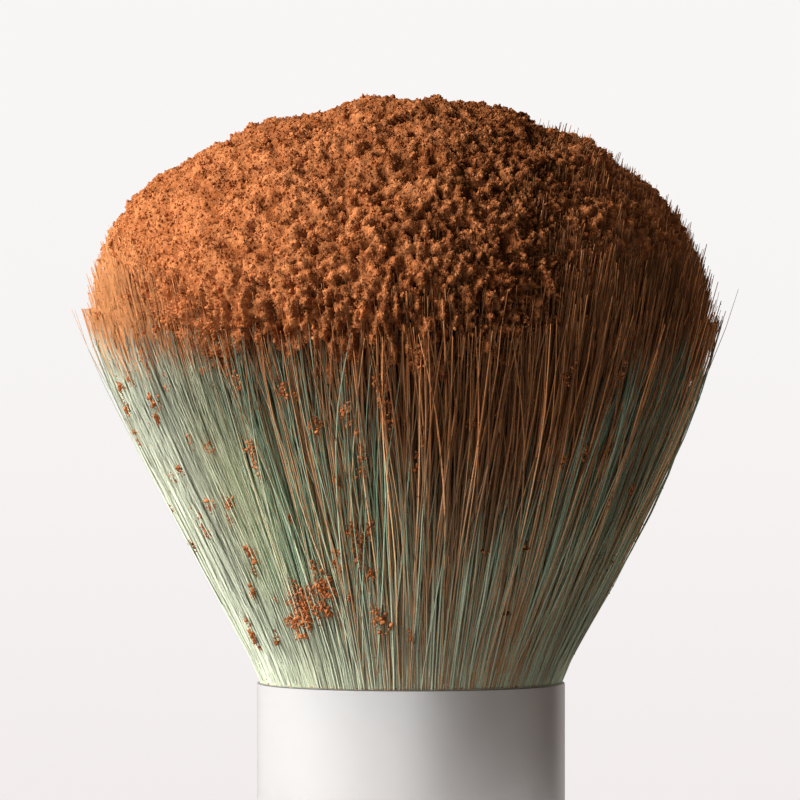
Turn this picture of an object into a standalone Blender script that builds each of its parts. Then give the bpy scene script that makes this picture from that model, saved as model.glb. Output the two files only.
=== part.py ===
"""A short, dense makeup brush that stands on its handle, loaded with loose powder.

The frame is metres with +Z up. The origin is the middle of the foot pad's underside, where the brush
stands. Everything is stacked upwards from there: foot pad, handle, ferrule, fibre head, powder.
"""

import math

import bmesh
import bpy
from mathutils import Vector, noise

# Seats. Glued pieces keep this gap, which the glue film fills.
SEAT_GAP = 0.0003

# Foot pad, the soft disc that the brush stands on
PAD_DIAMETER = 0.0222
PAD_THICKNESS = 0.0016
PAD_PROUD = 0.0004
PAD_EDGE = 0.0002

# Handle, turned from wood: a flared foot, a waist, and a tenon that goes into the ferrule
HANDLE_FOOT_DIAMETER = 0.0284
HANDLE_WAIST_DIAMETER = 0.0232
HANDLE_HEIGHT = 0.0200
HANDLE_WAIST_RISE = 0.0138
HANDLE_FOOT_EDGE = 0.0016
HANDLE_SHOULDER_EDGE = 0.0004
HANDLE_CURVE_POINTS = 7
HANDLE_EDGE_POINTS = 3
TENON_LENGTH = 0.0115
TENON_CHAMFER = 0.0008

# Weight in the handle, and the plug that closes its bore
WEIGHT_DIAMETER = 0.0150
WEIGHT_LENGTH = 0.0128
WEIGHT_CHAMFER = 0.0005
PLUG_THICKNESS = 0.0020
PLUG_CHAMFER = 0.0003

# Ferrule, a drawn aluminium tube, rolled into the tenon in two grooves
FERRULE_DIAMETER = 0.0250
FERRULE_WALL = 0.0005
FERRULE_LENGTH = 0.0220
FERRULE_LIP = 0.00012
CRIMP_COUNT = 2
CRIMP_RISE = 0.0034
CRIMP_PITCH = 0.0032
CRIMP_WIDTH = 0.0016
CRIMP_DEPTH = 0.00035
CRIMP_POINTS = 5

# Glue that pots the fibre roots, and the thread wound round them
EPOXY_DEPTH = 0.0022
EPOXY_CHAMFER = 0.0003
ROOT_SLICE = 0.0012
SLICE_CHAMFER = 0.00015
THREAD_DIAMETER = 0.0005
THREAD_PITCH = 0.0011
THREAD_TURNS = 3
THREAD_RISE = 0.0012

# Fibre head. Rises are heights over the ferrule's rim: a straight flare up to the shoulder, a slight turn
# inwards at the widest level, and an elliptic dome above that.
HEAD_DIAMETER = 0.0514
HEAD_RISE = 0.0473
HEAD_WIDEST_RISE = 0.0298
SHOULDER_DIAMETER = 0.0476
SHOULDER_RISE = 0.0240
STRAND_COUNT = 312
STRAND_SIDES = 3
STRAND_UNEVEN_SHARE = 0.10
GOLDEN_ANGLE = math.pi * (3 - math.sqrt(5))

# A strand's half thickness at its root, the rim, the shoulder and the tip, as shares of the strands' spacing
STRAND_THICKNESS_SHARES = (0.66, 0.66, 0.64, 0.26)

# Powder on the dome: thick and lumpy on top, thin at the widest level, with a ragged skirt below it
POWDER_DEPTH = 0.0030
POWDER_EDGE = 0.0005
SKIRT_DROP = 0.0032
SKIRT_RAGGED_SHARE = 0.80
SKIRT_WAVES = 2.2
LUMP_PITCH = 0.0062
LUMP_HEIGHT = 0.0009
LUMP_WAVES = 6
LUMP_FADE_SHARE = 0.60

# Facets
TURN_STEPS = 48
THREAD_POINTS_PER_TURN = 24
POWDER_STEPS = 72
DOME_RINGS = 18
HOLLOW_RINGS = 7
WELD = 0.00001

# Levels, from the base up
HANDLE_FOOT_Z = PAD_PROUD
RECESS_Z = PAD_THICKNESS + SEAT_GAP
WEIGHT_Z = RECESS_Z + PLUG_THICKNESS + SEAT_GAP
BORE_TOP_Z = WEIGHT_Z + WEIGHT_LENGTH + SEAT_GAP
SHOULDER_Z = HANDLE_FOOT_Z + HANDLE_HEIGHT
TENON_TOP_Z = SHOULDER_Z + TENON_LENGTH
FERRULE_Z = SHOULDER_Z + SEAT_GAP
RIM_Z = FERRULE_Z + FERRULE_LENGTH
EPOXY_Z = TENON_TOP_Z + SEAT_GAP
SLICE_Z = EPOXY_Z + EPOXY_DEPTH + SEAT_GAP
ROOT_Z = SLICE_Z + ROOT_SLICE
THREAD_Z = ROOT_Z + THREAD_RISE
THREAD_TOP_Z = THREAD_Z + THREAD_PITCH * THREAD_TURNS + THREAD_DIAMETER / 2
WIDEST_Z = RIM_Z + HEAD_WIDEST_RISE

# Radii that follow from the sizes above
FERRULE_BORE = FERRULE_DIAMETER / 2 - FERRULE_WALL
POTTED_RADIUS = FERRULE_BORE - SEAT_GAP
WEIGHT_BORE = WEIGHT_DIAMETER / 2 + SEAT_GAP
THREAD_RADIUS = POTTED_RADIUS - THREAD_DIAMETER / 2
PINCH_RADIUS = THREAD_RADIUS - THREAD_DIAMETER / 2 - SEAT_GAP
HEAD_RADIUS = HEAD_DIAMETER / 2
DOME_HEIGHT = HEAD_RISE - HEAD_WIDEST_RISE
HOLLOW_RADIUS = HEAD_RADIUS - POWDER_EDGE
HOLLOW_HEIGHT = DOME_HEIGHT - POWDER_DEPTH
STRAND_SPACING_SHARE = 1 / math.sqrt(STRAND_COUNT)


def clear_scene():
    for obj in list(bpy.data.objects):
        bpy.data.objects.remove(obj)


def new_collection(name):
    made = bpy.data.collections.new(name)
    bpy.context.scene.collection.children.link(made)
    return made


def finish(name, colour, roughness, metallic=0.0):
    """A Principled BSDF in this colour."""
    made = bpy.data.materials.new(name)
    made.use_nodes = True
    shader = made.node_tree.nodes["Principled BSDF"]
    shader.inputs["Base Color"].default_value = (*colour, 1.0)
    shader.inputs["Roughness"].default_value = roughness
    shader.inputs["Metallic"].default_value = metallic
    return made


def place(obj, collection, material):
    collection.objects.link(obj)
    obj.data.materials.clear()
    obj.data.materials.append(material)
    return obj


def as_helper(obj, collection):
    """Keeps a guide or a cutter out of the model."""
    collection.objects.link(obj)
    obj.hide_render = True
    obj.display_type = "WIRE"
    return obj


def shade(mesh):
    mesh.shade_smooth()
    mesh.set_sharp_from_angle(angle=math.radians(35))


def turned(name, profile, closed):
    """A turned piece. Its profile of (radius, height) points runs down the outer side. A closed one is
    a ring, and an open one starts and ends on the axis."""
    mesh = bpy.data.meshes.new(name)
    count = len(profile)
    edges = [(i, (i + 1) % count) for i in range(count if closed else count - 1)]
    mesh.from_pydata([(radius, 0, height) for radius, height in profile], edges, [])
    obj = bpy.data.objects.new(name, mesh)
    screw = obj.modifiers.new("Turn", "SCREW")
    screw.steps = TURN_STEPS
    screw.render_steps = TURN_STEPS
    screw.use_merge_vertices = True
    screw.merge_threshold = WELD
    screw.use_smooth_shade = True
    return obj


def disc_profile(radius, bottom, height, chamfer):
    """Outline of a chamfered disc, from the axis over the top and down to the axis again."""
    top = bottom + height
    return [
        (0, top),
        (radius - chamfer, top),
        (radius, top - chamfer),
        (radius, bottom + chamfer),
        (radius - chamfer, bottom),
        (0, bottom),
    ]


def grooved(radius, heights):
    """Points down a wall of this radius, with a crimp's rounded groove centred at each height."""
    points = []
    for height in sorted(heights, reverse=True):
        for i in range(CRIMP_POINTS):
            share = i / (CRIMP_POINTS - 1)
            depth = CRIMP_DEPTH * (1 - math.cos(2 * math.pi * share)) / 2
            points.append((radius - depth, height + CRIMP_WIDTH * (1 / 2 - share)))
    return points


def crimp_heights():
    return [FERRULE_Z + CRIMP_RISE + i * CRIMP_PITCH for i in range(CRIMP_COUNT)]


def eased(start, end, share):
    """A value between start and end that leaves and arrives level."""
    return start + (end - start) * (1 - math.cos(math.pi * share)) / 2


def curve_shares(count):
    """Evenly spaced shares from 0 to 1."""
    return [i / count for i in range(count + 1)]


def handle_side():
    """The handle's outer side from the shoulder, in to the waist, and out to the rounded foot edge."""
    waist = HANDLE_WAIST_DIAMETER / 2
    foot = HANDLE_FOOT_DIAMETER / 2
    shoulder = FERRULE_DIAMETER / 2
    waist_z = HANDLE_FOOT_Z + HANDLE_WAIST_RISE
    low_z = HANDLE_FOOT_Z + HANDLE_FOOT_EDGE
    high_z = SHOULDER_Z - HANDLE_SHOULDER_EDGE
    side = [(shoulder - HANDLE_SHOULDER_EDGE, SHOULDER_Z)]
    for share in curve_shares(HANDLE_CURVE_POINTS):
        side.append((eased(shoulder, waist, share), high_z + (waist_z - high_z) * share))
    for share in curve_shares(HANDLE_CURVE_POINTS)[1:]:
        side.append((eased(waist, foot, share), waist_z + (low_z - waist_z) * share))
    for share in curve_shares(HANDLE_EDGE_POINTS)[1:]:
        turn = share * math.pi / 2
        radius = foot - HANDLE_FOOT_EDGE * (1 - math.cos(turn))
        side.append((radius, low_z - HANDLE_FOOT_EDGE * math.sin(turn)))
    return side


def handle_profile():
    """Tenon, shoulder, outer side, foot, the pad's recess and the weight's bore, in one outline."""
    tenon = POTTED_RADIUS
    recess = PAD_DIAMETER / 2 + SEAT_GAP
    return [
        (0, TENON_TOP_Z),
        (tenon - TENON_CHAMFER, TENON_TOP_Z),
        (tenon, TENON_TOP_Z - TENON_CHAMFER),
        *grooved(tenon, crimp_heights()),
        (tenon, SHOULDER_Z),
        *handle_side(),
        (recess, HANDLE_FOOT_Z),
        (recess, RECESS_Z),
        (WEIGHT_BORE, RECESS_Z),
        (WEIGHT_BORE, BORE_TOP_Z),
        (0, BORE_TOP_Z),
    ]


def ferrule_profile():
    """The tube's wall: down the outside through the crimps, and up the inside."""
    outside = FERRULE_DIAMETER / 2
    heights = crimp_heights()
    return [
        (outside - FERRULE_LIP, RIM_Z),
        (outside, RIM_Z - FERRULE_LIP),
        *grooved(outside, heights),
        (outside, FERRULE_Z),
        (FERRULE_BORE, FERRULE_Z),
        *reversed(grooved(FERRULE_BORE, heights)),
        (FERRULE_BORE, RIM_Z - FERRULE_LIP),
        (FERRULE_BORE + FERRULE_LIP, RIM_Z),
    ]


def winding_points():
    """The thread's line: a helix that climbs a pitch each turn."""
    count = THREAD_TURNS * THREAD_POINTS_PER_TURN
    points = []
    for i in range(count + 1):
        turn = 2 * math.pi * i / THREAD_POINTS_PER_TURN
        rise = THREAD_Z + THREAD_PITCH * i / THREAD_POINTS_PER_TURN
        points.append(Vector((THREAD_RADIUS * math.cos(turn), THREAD_RADIUS * math.sin(turn), rise)))
    return points


def least_winding_gap(points):
    """The smallest clear distance between one turn and the next."""
    nearest = min(
        (first - second).length
        for i, first in enumerate(points)
        for second in points[i + THREAD_POINTS_PER_TURN // 2:]
    )
    return nearest - THREAD_DIAMETER


def winding():
    points = winding_points()
    curve = bpy.data.curves.new("binding_thread", "CURVE")
    curve.dimensions = "3D"
    curve.bevel_depth = THREAD_DIAMETER / 2
    curve.bevel_resolution = 1
    curve.use_fill_caps = True
    spline = curve.splines.new("POLY")
    spline.points.add(len(points) - 1)
    for spot, point in zip(spline.points, points):
        spot.co = (*point, 1.0)
    print(f"binding thread: least gap between turns {least_winding_gap(points) * 1000:.2f} mm")
    return bpy.data.objects.new("binding_thread", curve)


def fibre_edge(rise):
    """Radius of the fibre head's side at this height over the rim, up to its widest level."""
    wide = HOLLOW_RADIUS - SEAT_GAP
    if rise < SHOULDER_RISE:
        share = rise / SHOULDER_RISE
        return POTTED_RADIUS + (SHOULDER_DIAMETER / 2 - POTTED_RADIUS) * share
    share = (rise - SHOULDER_RISE) / (HEAD_WIDEST_RISE - SHOULDER_RISE)
    return SHOULDER_DIAMETER / 2 + (wide - SHOULDER_DIAMETER / 2) * share


def root_edge():
    """Radius of the bundle at its roots, on a straight line from the rim past the inside of the thread."""
    inward_share = (POTTED_RADIUS - PINCH_RADIUS) / (RIM_Z - THREAD_TOP_Z)
    return POTTED_RADIUS - inward_share * (RIM_Z - ROOT_Z)


def half_thickness(edge, level):
    """A strand's half thickness at one of its four levels, where the bundle has this radius."""
    return STRAND_THICKNESS_SHARES[level] * STRAND_SPACING_SHARE * edge


def strand_levels(share):
    """Bundle radius and height at the root, the rim, the shoulder and the tip of a strand that stands at
    this share of the bundle's radius. Tips lie on an ellipse just under the powder."""
    wide = HOLLOW_RADIUS - SEAT_GAP
    tip_gap = SEAT_GAP + half_thickness(wide, 3)
    tip_z = WIDEST_Z - tip_gap + HOLLOW_HEIGHT * math.sqrt(1 - share * share)
    shoulder_z = RIM_Z + (tip_z - RIM_Z) * SHOULDER_RISE / HEAD_WIDEST_RISE
    return [
        (root_edge(), ROOT_Z - ROOT_SLICE / 2),
        (fibre_edge(0), RIM_Z),
        (fibre_edge(SHOULDER_RISE), shoulder_z),
        (wide, tip_z),
    ]


def strand_lines():
    """Each strand as four (point, half thickness) pairs. Roots follow a sunflower's spiral, and a strand
    keeps its share of the bundle's radius at every level, so no strand crosses another."""
    lines = []
    for i in range(STRAND_COUNT):
        share = math.sqrt((i + 1 / 2) / STRAND_COUNT)
        turn = i * GOLDEN_ANGLE
        uneven = 1 + STRAND_UNEVEN_SHARE * noise.noise((i, share, turn))
        line = []
        for level, (edge, height) in enumerate(strand_levels(share)):
            thick = half_thickness(edge, level)
            reach = (edge - thick) * share
            spot = Vector((reach * math.cos(turn), reach * math.sin(turn), height))
            line.append((spot, thick * uneven))
        lines.append(line)
    return lines


def least_strand_gap(lines):
    """The smallest clear distance between two strands, measured level by level."""
    gaps = []
    for i, first in enumerate(lines):
        for second in lines[i + 1:]:
            for (here, thin), (there, thick) in zip(first, second):
                gaps.append((here - there).length - thin - thick)
    return min(gaps)


def strand_section(collection):
    """The strand's cross-section: a closed polygon of unit radius, scaled at each point."""
    curve = bpy.data.curves.new("strand_section", "CURVE")
    curve.dimensions = "2D"
    spline = curve.splines.new("POLY")
    spline.points.add(STRAND_SIDES - 1)
    spline.use_cyclic_u = True
    for i, spot in enumerate(spline.points):
        turn = -2 * math.pi * i / STRAND_SIDES
        spot.co = (math.cos(turn), math.sin(turn), 0, 1)
    return as_helper(bpy.data.objects.new("strand_section", curve), collection)


def strands(helpers):
    """All strands as one mesh of closed tubes, ready to be fused to the root slice."""
    lines = strand_lines()
    print(f"strands: least gap {least_strand_gap(lines) * 1000:.2f} mm")
    curve = bpy.data.curves.new("strand_lines", "CURVE")
    curve.dimensions = "3D"
    curve.bevel_mode = "OBJECT"
    curve.bevel_object = strand_section(helpers)
    curve.use_fill_caps = True
    for line in lines:
        spline = curve.splines.new("POLY")
        spline.points.add(len(line) - 1)
        for spot, (point, thick) in zip(spline.points, line):
            spot.co = (*point, 1.0)
            spot.radius = thick
    drawn = as_helper(bpy.data.objects.new("strand_lines", curve), helpers)
    return meshed(drawn, "strands", helpers)


def meshed(drawn, name, helpers):
    """A curve's evaluated mesh as an object of its own, with its caps welded on."""
    bpy.context.view_layer.update()
    graph = bpy.context.evaluated_depsgraph_get()
    mesh = bpy.data.meshes.new_from_object(drawn.evaluated_get(graph))
    mesh.transform(drawn.matrix_world)
    bpy.data.objects.remove(drawn)
    work = bmesh.new()
    work.from_mesh(mesh)
    close_up(work, mesh)
    return as_helper(bpy.data.objects.new(name, mesh), helpers)


def close_up(work, mesh):
    """Welds points that meet, turns all faces outwards and writes the result to the mesh."""
    bmesh.ops.remove_doubles(work, verts=work.verts, dist=WELD)
    bmesh.ops.recalc_face_normals(work, faces=work.faces)
    work.to_mesh(mesh)
    work.free()


def bristle_bundle(helpers):
    """The potted root slice with the strands fused to it."""
    outline = disc_profile(POTTED_RADIUS, SLICE_Z, ROOT_SLICE, SLICE_CHAMFER)
    root_slice = turned("bristle_bundle", outline, False)
    fuse = root_slice.modifiers.new("Fuse strands", "BOOLEAN")
    fuse.operation = "UNION"
    fuse.object = strands(helpers)
    return root_slice


def swell(point):
    """How far the powder's lumps swell out here, from -1 to 1: waves of one pitch that cross each other,
    with their directions spread evenly over half a sphere."""
    total = 0
    for i in range(LUMP_WAVES):
        climb = (i + 1 / 2) / LUMP_WAVES
        level = math.sqrt(1 - climb * climb)
        turn = i * GOLDEN_ANGLE
        onwards = Vector((level * math.cos(turn), level * math.sin(turn), climb))
        total += math.cos(2 * math.pi * onwards.dot(point) / LUMP_PITCH)
    return total / LUMP_WAVES


def lumpy(point):
    """A point on the dome's outside, moved out or in by the lumps, which fade out at the widest level."""
    fade = min(1, (point.z - WIDEST_Z) / (LUMP_FADE_SHARE * DOME_HEIGHT))
    outwards = (point - Vector((0, 0, WIDEST_Z))).normalized()
    return point + fade * LUMP_HEIGHT * swell(point - Vector((0, 0, RIM_Z))) * outwards


def powder_section(turn):
    """The powder's outline in the half plane at this angle: from the top down the outside, round the
    skirt, whose edge wanders up and down round the head, and up the hollow."""
    across = Vector((math.cos(turn), math.sin(turn), 0))
    wander = (1 + noise.noise(across * SKIRT_WAVES)) / 2
    drop = SKIRT_DROP * (1 - SKIRT_RAGGED_SHARE * wander)
    inner_skirt = fibre_edge(HEAD_WIDEST_RISE - drop) + SEAT_GAP

    def ellipse(radius, height, share):
        angle = share * math.pi / 2
        return across * (radius * math.sin(angle)) + Vector((0, 0, WIDEST_Z + height * math.cos(angle)))

    outside = [lumpy(ellipse(HEAD_RADIUS, DOME_HEIGHT, share)) for share in curve_shares(DOME_RINGS)]
    inside = [ellipse(HOLLOW_RADIUS, HOLLOW_HEIGHT, share) for share in curve_shares(HOLLOW_RINGS)]
    skirt = [across * radius for radius in (inner_skirt + POWDER_EDGE, inner_skirt)]
    for point in skirt:
        point.z = WIDEST_Z - drop
    return [*outside, *skirt, *reversed(inside)]


def powder_load():
    """The powder cake, lofted through its sections round the head."""
    work = bmesh.new()
    sections = []
    for i in range(POWDER_STEPS):
        points = powder_section(2 * math.pi * i / POWDER_STEPS)
        sections.append([work.verts.new(point) for point in points])
    for here, there in zip(sections, sections[1:] + sections[:1]):
        for i in range(len(here) - 1):
            work.faces.new((here[i], here[i + 1], there[i + 1], there[i]))
    mesh = bpy.data.meshes.new("powder_load")
    close_up(work, mesh)
    shade(mesh)
    return bpy.data.objects.new("powder_load", mesh)


def build():
    clear_scene()
    parts = new_collection("makeup_brush")
    helpers = new_collection("helpers")

    rubber = finish("foot_pad_rubber", (0.06, 0.06, 0.06), 0.85)
    lacquer = finish("white_lacquer", (0.86, 0.86, 0.84), 0.25)
    steel = finish("plated_steel", (0.62, 0.62, 0.62), 0.35, 1.0)
    moulded = finish("moulded_plastic", (0.12, 0.12, 0.12), 0.5)
    satin = finish("satin_aluminium", (0.86, 0.86, 0.85), 0.35, 1.0)
    epoxy = finish("cured_epoxy", (0.62, 0.48, 0.26), 0.2)
    cotton = finish("cotton_thread", (0.85, 0.82, 0.74), 0.9)
    fibre = finish("green_fibre", (0.30, 0.42, 0.35), 0.5)
    powder = finish("tan_powder", (0.48, 0.19, 0.07), 1.0)

    pad = disc_profile(PAD_DIAMETER / 2, 0, PAD_THICKNESS, PAD_EDGE)
    place(turned("foot_pad", pad, False), parts, rubber)
    place(turned("handle", handle_profile(), False), parts, lacquer)
    plug = disc_profile(WEIGHT_DIAMETER / 2, RECESS_Z, PLUG_THICKNESS, PLUG_CHAMFER)
    place(turned("base_plug", plug, False), parts, moulded)
    weight = disc_profile(WEIGHT_DIAMETER / 2, WEIGHT_Z, WEIGHT_LENGTH, WEIGHT_CHAMFER)
    place(turned("weight_slug", weight, False), parts, steel)
    place(turned("ferrule", ferrule_profile(), True), parts, satin)
    potting = disc_profile(POTTED_RADIUS, EPOXY_Z, EPOXY_DEPTH, EPOXY_CHAMFER)
    place(turned("epoxy_plug", potting, False), parts, epoxy)
    place(winding(), parts, cotton)
    place(bristle_bundle(helpers), parts, fibre)
    place(powder_load(), parts, powder)


build()
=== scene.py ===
# %% [markdown]
# # A loaded powder brush
#
# This script dresses a short, dense makeup brush: a satin metal ferrule, a flared head of fine green
# fibres, and a crust of loose orange-brown powder on the dome. The construction, meaning the real sizes
# and the seats of all pieces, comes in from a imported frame. Here each visible surface gets its true form
# and finish. Every step first says what the thing is on a real brush, and then how it is made in Blender.

# %% Load the frame
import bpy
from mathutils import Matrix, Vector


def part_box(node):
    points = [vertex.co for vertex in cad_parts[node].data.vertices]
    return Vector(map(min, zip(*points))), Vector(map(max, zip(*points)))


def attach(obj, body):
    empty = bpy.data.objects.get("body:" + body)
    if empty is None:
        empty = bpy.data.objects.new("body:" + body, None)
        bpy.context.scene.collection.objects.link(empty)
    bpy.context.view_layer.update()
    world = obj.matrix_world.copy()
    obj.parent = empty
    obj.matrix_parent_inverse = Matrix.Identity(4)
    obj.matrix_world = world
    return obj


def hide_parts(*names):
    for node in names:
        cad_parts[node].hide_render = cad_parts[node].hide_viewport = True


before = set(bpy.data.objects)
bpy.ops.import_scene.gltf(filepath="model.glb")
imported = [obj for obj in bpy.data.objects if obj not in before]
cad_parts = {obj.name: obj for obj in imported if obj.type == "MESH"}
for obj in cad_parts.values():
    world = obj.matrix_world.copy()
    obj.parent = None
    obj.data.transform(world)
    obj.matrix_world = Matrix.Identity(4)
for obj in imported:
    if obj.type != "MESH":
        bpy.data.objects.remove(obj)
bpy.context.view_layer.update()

import math
import random

import bpy
from mathutils import Vector

print("frame nodes:", ", ".join(sorted(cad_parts)))

# %% [markdown]
# All places are measured from the ferrule, because it is the one piece whose size was settled from the
# photo. The head's own sizes follow: it flares in a straight line up to its widest level, and a flat
# ellipse closes it above.

# %% Sizes of the head
MM = 0.001


def corners(node):
    """The lowest and the highest corner of a node."""
    return [Vector(corner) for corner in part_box(node)]


ferrule_low, ferrule_high = corners("ferrule")
powder_high = corners("powder_load")[1]
bundle_low = corners("bristle_bundle")[0]

RIM_Z = ferrule_high.z
FERRULE_RADIUS = ferrule_high.x
FERRULE_WALL, SEAT_GAP = 0.5 * MM, 0.3 * MM
BORE_RADIUS = FERRULE_RADIUS - FERRULE_WALL
HEAD_RADIUS = powder_high.x
WIDEST_RISE = 29.8 * MM
HEAD_RISE = powder_high.z - RIM_Z
LUMPS_PROUD = 0.3 * MM
DOME_HEIGHT = HEAD_RISE - LUMPS_PROUD - WIDEST_RISE
ROOT_CLEAR = 0.6 * MM
ROOT_DEPTH = RIM_Z - bundle_low.z - ROOT_CLEAR
print(f"rim at {RIM_Z / MM:.1f} mm, head {2 * HEAD_RADIUS / MM:.1f} mm wide, {HEAD_RISE / MM:.1f} mm high")

# %% [markdown]
# Node trees are easier to read as sums than as lists of links. `Wire` holds one output socket, and each
# operator on it adds a Math node, so `1 - mask` is a node tree too. `Graph` adds every other kind of
# node through one method: the node's type, its settings, and what goes into its sockets. The same two
# classes serve shaders and Geometry Nodes.

# %% Wires and graphs
def sum_of(operation):
    """A method that adds one Math node for a wire and what stands beside it."""
    return lambda wire, *others: wire.graph.maths(operation, wire, *others)


class Wire:
    """An output socket. Sums on wires add Math nodes to their tree."""

    __add__ = __radd__ = sum_of("ADD")
    __sub__ = sum_of("SUBTRACT")
    __mul__ = __rmul__ = sum_of("MULTIPLY")
    __truediv__ = sum_of("DIVIDE")
    __pow__ = sum_of("POWER")
    at_least, at_most = sum_of("MAXIMUM"), sum_of("MINIMUM")
    sine, cosine = sum_of("SINE"), sum_of("COSINE")
    root, floor, size = sum_of("SQRT"), sum_of("FLOOR"), sum_of("ABSOLUTE")

    def __init__(self, graph, socket):
        self.graph = graph
        self.socket = socket

    def __rsub__(self, other):
        return self.graph.maths("SUBTRACT", other, self)

    def __neg__(self):
        return self * -1

    def other(self, name):
        """Another output of the same node."""
        return Wire(self.graph, self.graph.find(self.socket.node.outputs, name))


class Graph:
    """A node tree that is written as sums and calls."""

    def __init__(self, tree):
        self.tree = tree

    @staticmethod
    def find(sockets, key):
        if isinstance(key, int):
            return sockets[key]
        for socket in sockets:
            if socket.identifier == key:
                return socket
        return next(socket for socket in sockets if socket.name == key and socket.enabled)

    def node(self, kind, settings=None, sockets=None, out=0):
        """Adds a node, gives it its settings, then feeds its sockets, and returns one output."""
        made = self.tree.nodes.new(kind)
        for name, value in (settings or {}).items():
            if name == "stops":
                self.set_stops(made.color_ramp, value)
            else:
                setattr(made, name, value)
        for key, value in (sockets or {}).items():
            self.feed(self.find(made.inputs, key), value)
        return Wire(self, self.find(made.outputs, out)) if len(made.outputs) else None

    def read(self, kind, out):
        """One output of a shader node that only reads something, such as a coordinate."""
        return self.node("ShaderNode" + kind, out=out)

    def feed(self, socket, value):
        """Links a wire to a socket, or sets the socket's own value."""
        if isinstance(value, Wire):
            self.tree.links.new(value.socket, socket)
        elif isinstance(value, tuple) and len(value) == 3 and socket.type == "RGBA":
            socket.default_value = (*value, 1)
        else:
            socket.default_value = value

    @staticmethod
    def set_stops(ramp, stops):
        while len(ramp.elements) < len(stops):
            ramp.elements.new(1)
        for element, (place, colour) in zip(ramp.elements, stops):
            element.position = place
            element.color = (*colour, 1)

    def maths(self, operation, *values):
        return self.node("ShaderNodeMath", {"operation": operation}, dict(enumerate(values)))

    def vector(self, x, y, z):
        return self.node("ShaderNodeCombineXYZ", None, {0: x, 1: y, 2: z})

    def around(self, turn, radius, height):
        """The point at this turn and radius round the axis."""
        return self.vector(turn.cosine() * radius, turn.sine() * radius, height)

    def parts(self, vector):
        split = self.node("ShaderNodeSeparateXYZ", None, {0: vector})
        return split, split.other("Y"), split.other("Z")

    def move(self, operation, *values):
        """Vector maths, such as ADD, SCALE or NORMALIZE."""
        keys = (0, "Scale") if operation == "SCALE" else range(len(values))
        out = 1 if operation == "LENGTH" else 0
        return self.node("ShaderNodeVectorMath", {"operation": operation}, dict(zip(keys, values)), out)

    def blend(self, share, low, high):
        """Mixes two numbers."""
        return self.node("ShaderNodeMix", {"data_type": "FLOAT"}, {0: share, 2: low, 3: high})

    def tint(self, share, low, high):
        """Mixes two colours."""
        sockets = {"Factor_Float": share, "A_Color": low, "B_Color": high}
        return self.node("ShaderNodeMix", {"data_type": "RGBA"}, sockets, "Result_Color")

    def noise(self, place, size, detail=2.0, roughness=0.5):
        """Soft noise from 0 to 1 whose features are about this size."""
        sockets = {"Vector": place, "Scale": 1 / size, "Detail": detail, "Roughness": roughness}
        return self.node("ShaderNodeTexNoise", {"noise_dimensions": "3D"}, sockets)

    def cells(self, place, size):
        """Distance to the nearest of many scattered points that stand about this far apart."""
        return self.node("ShaderNodeTexVoronoi", {"feature": "F1"}, {"Vector": place, "Scale": 1 / size})


def step(value, low, high):
    """A smooth step from 0 at low to 1 at high, for a wire or for a plain number."""
    if isinstance(value, Wire):
        span = {"Value": value, "From Min": low, "From Max": high}
        return value.graph.node("ShaderNodeMapRange", {"interpolation_type": "SMOOTHSTEP"}, span)
    share = min(1.0, max(0.0, (value - low) / (high - low)))
    return share * share * (3 - 2 * share)


print("a smooth step of 0.25 gives", step(0.25, 0.0, 1.0))

# %% [markdown]
# ## Camera
#
# The photo looks at the head from almost level, from far away, so that the flare shows hardly any
# perspective. The camera is placed from three facts: how many pixels show a millimetre, which pixels the
# ferrule's rim crosses, and how far its front dips below its sides.

# %% Camera
PICTURE_WIDTH = 800
FERRULE_LEFT_PIXEL, FERRULE_RIGHT_PIXEL, RIM_PIXEL = 257, 565, 682
CAMERA_DISTANCE, CAMERA_CLIP = 0.60, 0.01
CAMERA_ELEVATION = math.radians(0.7)

scene = bpy.context.scene


def placed(name, data):
    """A new object in the scene."""
    made = bpy.data.objects.new(name, data)
    scene.collection.objects.link(made)
    return made


pixels_per_metre = (FERRULE_RIGHT_PIXEL - FERRULE_LEFT_PIXEL) / (2 * FERRULE_RADIUS)
axis_pixel = (FERRULE_LEFT_PIXEL + FERRULE_RIGHT_PIXEL) / 2
aim = Vector(((PICTURE_WIDTH / 2 - axis_pixel) / pixels_per_metre, 0, RIM_Z))
aim.z += (RIM_PIXEL - PICTURE_WIDTH / 2) / pixels_per_metre
camera_data = bpy.data.cameras.new("camera")
camera = placed("camera", camera_data)
scene.camera = camera
backwards = Vector((0, -math.cos(CAMERA_ELEVATION), math.sin(CAMERA_ELEVATION)))
camera.location = aim + backwards * CAMERA_DISTANCE
camera.rotation_euler = (math.pi / 2 - CAMERA_ELEVATION, 0, 0)
half_picture = PICTURE_WIDTH / 2 / pixels_per_metre
camera_data.lens = camera_data.sensor_width / 2 * CAMERA_DISTANCE / half_picture
camera_data.clip_start = CAMERA_CLIP
print(f"lens {camera_data.lens:.0f} mm, picture {2 * half_picture / MM:.1f} mm wide")

# %% [markdown]
# ## Studio
#
# The light comes from the left, and hardly anything fills the right side. Two lamps make it: a key high
# above the head, so that each crumb of powder throws a small shadow, and a broad, weak one low on the
# left and more in front, which reaches the underside of the flare. A third lamp behind the brush puts a
# thin light edge on its right side and lights the back, which the photo doesn't show.
#
# Satin metal mirrors its room, so it gets a room of its own. The lamps stay out of mirror images, and the
# world has a bright band at their level whose steps are the light and dark stripes of the ferrule. What
# the camera sees behind the brush is a pale, slightly pink paper.

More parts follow.
